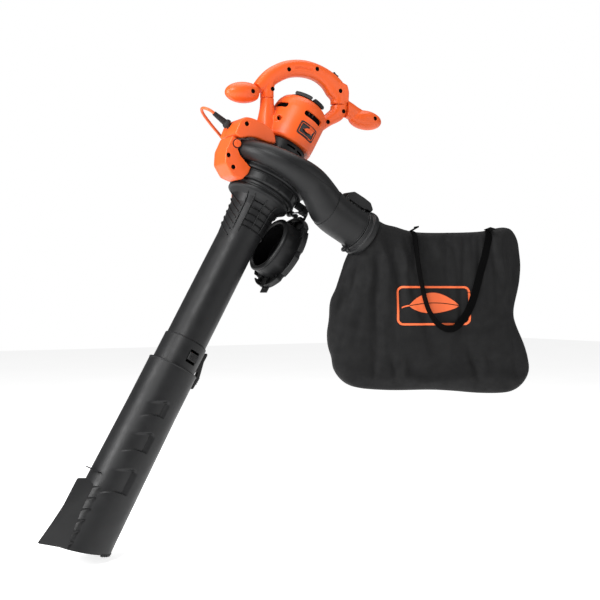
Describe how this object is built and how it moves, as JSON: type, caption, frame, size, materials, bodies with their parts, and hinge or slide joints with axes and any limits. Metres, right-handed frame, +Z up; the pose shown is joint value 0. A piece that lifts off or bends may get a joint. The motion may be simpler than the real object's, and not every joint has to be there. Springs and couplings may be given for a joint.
{
  "type": "leaf blower and vacuum",
  "caption": "Corded hand-held leaf blower set up as a vacuum, with a long two-piece suction tube, an arch handle, an open inlet cover and a cloth collection bag.",
  "frame": {"origin": "middle of the arch handle, where a hand holds the tool", "axes": "+Z up as the tool is held, +X towards the collection bag in the tool's plane of symmetry, +Y away from the control pod's side, to the far side of the tool"},
  "size_m": [1.1377, 0.408, 1.1197],
  "materials": {
    "orange_plastic": "satin moulded shell",
    "black_plastic": "fine moulded texture",
    "black_rubber": "matt",
    "bag_cloth": "woven nylon",
    "cord_sheath": "smooth sheath",
    "dark_steel": "blackened",
    "steel": "turned",
    "laminations": "varnished stack",
    "copper": "enamelled"
  },
  "bodies": {
    "blower": {"bail_handle_near": "orange_plastic", "bail_handle_far": "orange_plastic", "screw_bail_left": "dark_steel", "screw_bail_top_left": "dark_steel", "screw_bail_top_right": "dark_steel", "screw_bail_right": "dark_steel", "left_grip_near": "orange_plastic", "left_grip_far": "orange_plastic", "screw_left_grip": "dark_steel", "right_grip_near": "orange_plastic", "right_grip_far": "orange_plastic", "screw_right_grip": "dark_steel", "motor_housing_near": "orange_plastic", "motor_housing_far": "orange_plastic", "screw_right_leg": "dark_steel", "screw_strut": "dark_steel", "screw_left_leg": "dark_steel", "screw_rear_body": "dark_steel", "control_pod_near": "orange_plastic", "control_pod_far": "orange_plastic", "screw_pod_upper": "dark_steel", "screw_pod_lower": "dark_steel", "switch_block": "black_rubber", "cable_gland": "black_rubber", "power_cord": "cord_sheath", "mains_plug": "black_rubber", "leaf_rake": "black_plastic", "rear_vent_cap": "black_plastic", "badge_plate": "black_rubber", "motor_mount": "black_plastic", "stator_core": "laminations", "field_coil_lower": "copper", "field_coil_upper": "copper", "bearing_lower": "steel", "bearing_upper": "steel", "brush_holder_near": "black_rubber", "brush_holder_far": "black_rubber", "scroll_upper": "black_plastic", "scroll_lower": "black_plastic", "outlet_duct": "black_plastic", "bag_collar": "black_plastic", "bag_lever_pin": "steel", "inlet_cover_pin": "steel", "vac_tube_upper": "black_plastic", "vac_tube_lower": "black_plastic", "collection_bag": "bag_cloth", "bag_strap": "bag_cloth"},
    "rotor": {"motor_shaft": "steel", "armature_core": "laminations", "commutator": "copper", "fan_impeller": "dark_steel", "impeller_nut": "steel"},
    "inlet_cover": {"inlet_cover": "black_plastic"},
    "bag_lever": {"bag_release_lever": "black_plastic"},
    "switch_button": {"power_switch": "black_plastic"},
    "speed_wheel": {"speed_dial": "orange_plastic"},
    "tube_lock": {"tube_lock_slide": "black_rubber"},
    "tube_latch": {"tube_latch_rocker": "black_plastic"}
  },
  "joints": [
    {"name": "impeller_spin", "type": "hinge", "parent": "blower", "child": "rotor", "pos_m": [-0.07891, 0, -0.25512], "axis": [0.4848, 0, 0.8746], "continuous": true},
    {"name": "inlet_cover_hinge", "type": "hinge", "parent": "blower", "child": "inlet_cover", "pos_m": [-0.01122, 0, -0.34752], "axis": [0, -1, 0], "range_deg": [0, 25], "stiffness_Nm_per_rad": 0.2, "springref_deg": -77.92},
    {"name": "bag_lever_hinge", "type": "hinge", "parent": "blower", "child": "bag_lever", "pos_m": [0.06106, -0.11, -0.31613], "axis": [0, -1, 0], "range_deg": [0, 12], "stiffness_Nm_per_rad": 0.3, "springref_deg": -11.46},
    {"name": "power_switch_slide", "type": "slide", "parent": "blower", "child": "switch_button", "axis": [0.7986, 0, -0.6018], "range_m": [0, 0.004]},
    {"name": "speed_wheel_turn", "type": "hinge", "parent": "blower", "child": "speed_wheel", "pos_m": [-0.19484, -0.055, -0.2023], "axis": [0, 1, 0], "range_deg": [-75, 75]},
    {"name": "tube_lock_slide_up", "type": "slide", "parent": "blower", "child": "tube_lock", "axis": [0.4848, 0, 0.8746], "range_m": [0, 0.005]},
    {"name": "tube_latch_hinge", "type": "hinge", "parent": "blower", "child": "tube_latch", "pos_m": [-0.26177, 0, -0.70257], "axis": [0, -1, 0], "range_deg": [0, 5], "stiffness_Nm_per_rad": 0.2, "springref_deg": -5.73}
  ]
}
